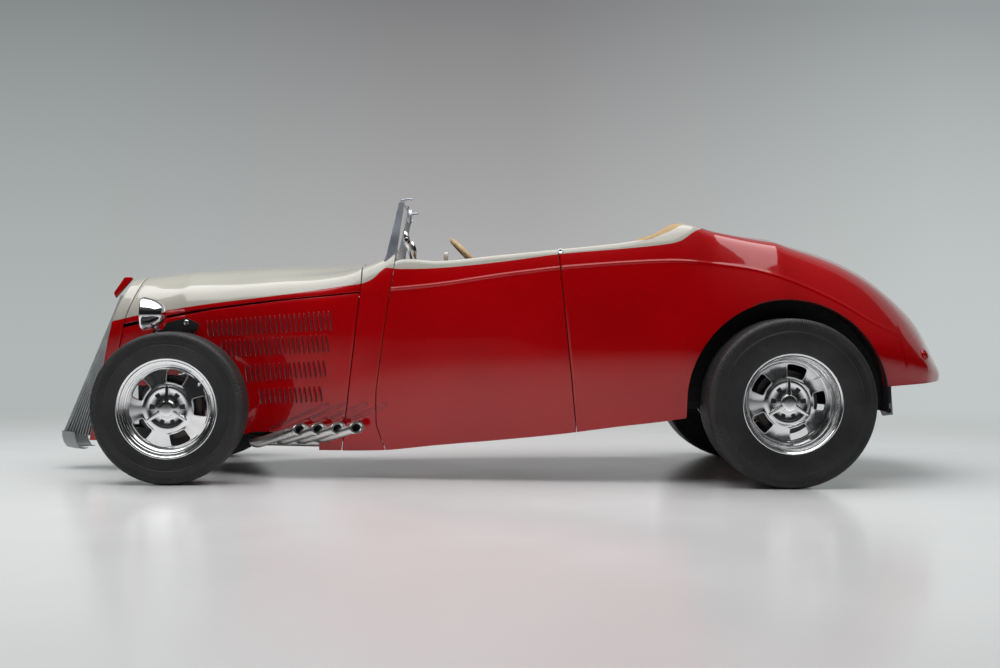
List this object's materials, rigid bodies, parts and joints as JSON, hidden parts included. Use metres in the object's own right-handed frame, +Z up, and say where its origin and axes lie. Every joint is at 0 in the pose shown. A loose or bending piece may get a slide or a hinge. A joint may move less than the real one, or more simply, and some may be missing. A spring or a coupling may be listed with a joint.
{
  "type": "street rod roadster",
  "caption": "Open two-seat street rod roadster without fenders: long louvred hood, V grille, side pipes, opening doors, hood and deck lid.",
  "frame": {"origin": "on the floor at the middle of the car's length and width", "axes": "+X towards the tail, +Y towards the car's right side, +Z up"},
  "size_m": [4.4144, 1.684, 1.3365],
  "materials": {
    "red_paint": "deep gloss red",
    "cream_paint": "gloss cream",
    "polished": "polished",
    "chrome": "bright chrome",
    "rubber": "matte black",
    "black": "satin black",
    "cast": "bare cast and machined metal",
    "tan": "smooth tan leather",
    "glass": "clear",
    "lamp_red": "gloss red lens",
    "wood": "varnished wood rim"
  },
  "bodies": {
    "body": {"chassis_frame": "black", "cowl": "red_paint", "dashboard": "tan", "driveshaft": "cast", "engine_block": "cast", "exhaust_left": "polished", "exhaust_right": "polished", "floor_pan": "black", "front_axle": "black", "gear_lever": "chrome", "gearbox": "cast", "grille_insert": "polished", "grille_shell": "red_paint", "headlamp_left": "chrome", "headlamp_right": "chrome", "hood_side_left": "red_paint", "hood_side_right": "red_paint", "mirror": "chrome", "nose_ornament": "red_paint", "radiator": "black", "rear_axle": "black", "rear_body": "red_paint", "seat_back": "tan", "seat_cushion": "tan", "steering_column": "chrome", "tail_lamp_left": "lamp_red", "tail_lamp_right": "lamp_red", "windshield_frame": "chrome", "windshield_glass": "glass"},
    "knuckle_left": {"knuckle_left": "cast"},
    "knuckle_right": {"knuckle_right": "cast"},
    "wheel_front_left": {"wheel_front_left": "polished", "tyre_front_left": "rubber"},
    "wheel_front_right": {"wheel_front_right": "polished", "tyre_front_right": "rubber"},
    "wheel_rear_left": {"wheel_rear_left": "polished", "tyre_rear_left": "rubber"},
    "wheel_rear_right": {"wheel_rear_right": "polished", "tyre_rear_right": "rubber"},
    "tie_rod": {"tie_rod": "chrome"},
    "steering_wheel": {"steering_wheel": "wood"},
    "door_left": {"door_left": "red_paint"},
    "door_right": {"door_right": "red_paint"},
    "hood_top": {"hood_top": "cream_paint"},
    "deck_lid": {"deck_lid": "red_paint"}
  },
  "joints": [
    {"name": "steer_left", "type": "hinge", "parent": "body", "child": "knuckle_left", "pos_m": [-1.5325, -0.52, 0.35], "axis": [0, 0, 1], "range_deg": [-25, 25]},
    {"name": "steer_right", "type": "hinge", "parent": "body", "child": "knuckle_right", "pos_m": [-1.5325, 0.52, 0.35], "axis": [0, 0, 1], "range_deg": [-25, 25]},
    {"name": "roll_front_left", "type": "hinge", "parent": "knuckle_left", "child": "wheel_front_left", "pos_m": [-1.5325, -0.648, 0.35], "axis": [0, 1, 0], "continuous": true},
    {"name": "roll_front_right", "type": "hinge", "parent": "knuckle_right", "child": "wheel_front_right", "pos_m": [-1.5325, 0.648, 0.35], "axis": [0, 1, 0], "continuous": true},
    {"name": "roll_rear_left", "type": "hinge", "parent": "body", "child": "wheel_rear_left", "pos_m": [1.3125, -0.704, 0.388], "axis": [0, 1, 0], "continuous": true},
    {"name": "roll_rear_right", "type": "hinge", "parent": "body", "child": "wheel_rear_right", "pos_m": [1.3125, 0.704, 0.388], "axis": [0, 1, 0], "continuous": true},
    {"name": "tie_rod_pivot", "type": "hinge", "parent": "knuckle_left", "child": "tie_rod", "pos_m": [-1.6625, -0.52, 0.2816], "axis": [0, 0, 1], "range_deg": [-25, 25]},
    {"name": "steering_wheel_turn", "type": "hinge", "parent": "body", "child": "steering_wheel", "pos_m": [-0.11569, -0.31, 1.02], "axis": [0.7071, 0, 0.7071], "range_deg": [-300, 300]},
    {"name": "door_left_swing", "type": "hinge", "parent": "body", "child": "door_left", "pos_m": [0.31722, -0.672, 0.5], "axis": [-0.1053, 0, 0.9944], "range_deg": [0, 65]},
    {"name": "door_right_swing", "type": "hinge", "parent": "body", "child": "door_right", "pos_m": [0.31722, 0.672, 0.5], "axis": [0.1053, 0, -0.9944], "range_deg": [0, 65]},
    {"name": "hood_lift", "type": "hinge", "parent": "body", "child": "hood_top", "pos_m": [-0.67172, 0, 1.03944], "axis": [0, 1, 0], "range_deg": [0, 45]},
    {"name": "deck_lid_lift", "type": "hinge", "parent": "body", "child": "deck_lid", "pos_m": [1.13083, 0, 1.19419], "axis": [0, -1, 0], "range_deg": [0, 50]}
  ],
  "couplings": [
    {"joint": "steer_right", "follows": "steer_left", "ratio": 1},
    {"joint": "tie_rod_pivot", "follows": "steer_left", "ratio": -1},
    {"joint": "steering_wheel_turn", "follows": "steer_left", "ratio": 12}
  ]
}
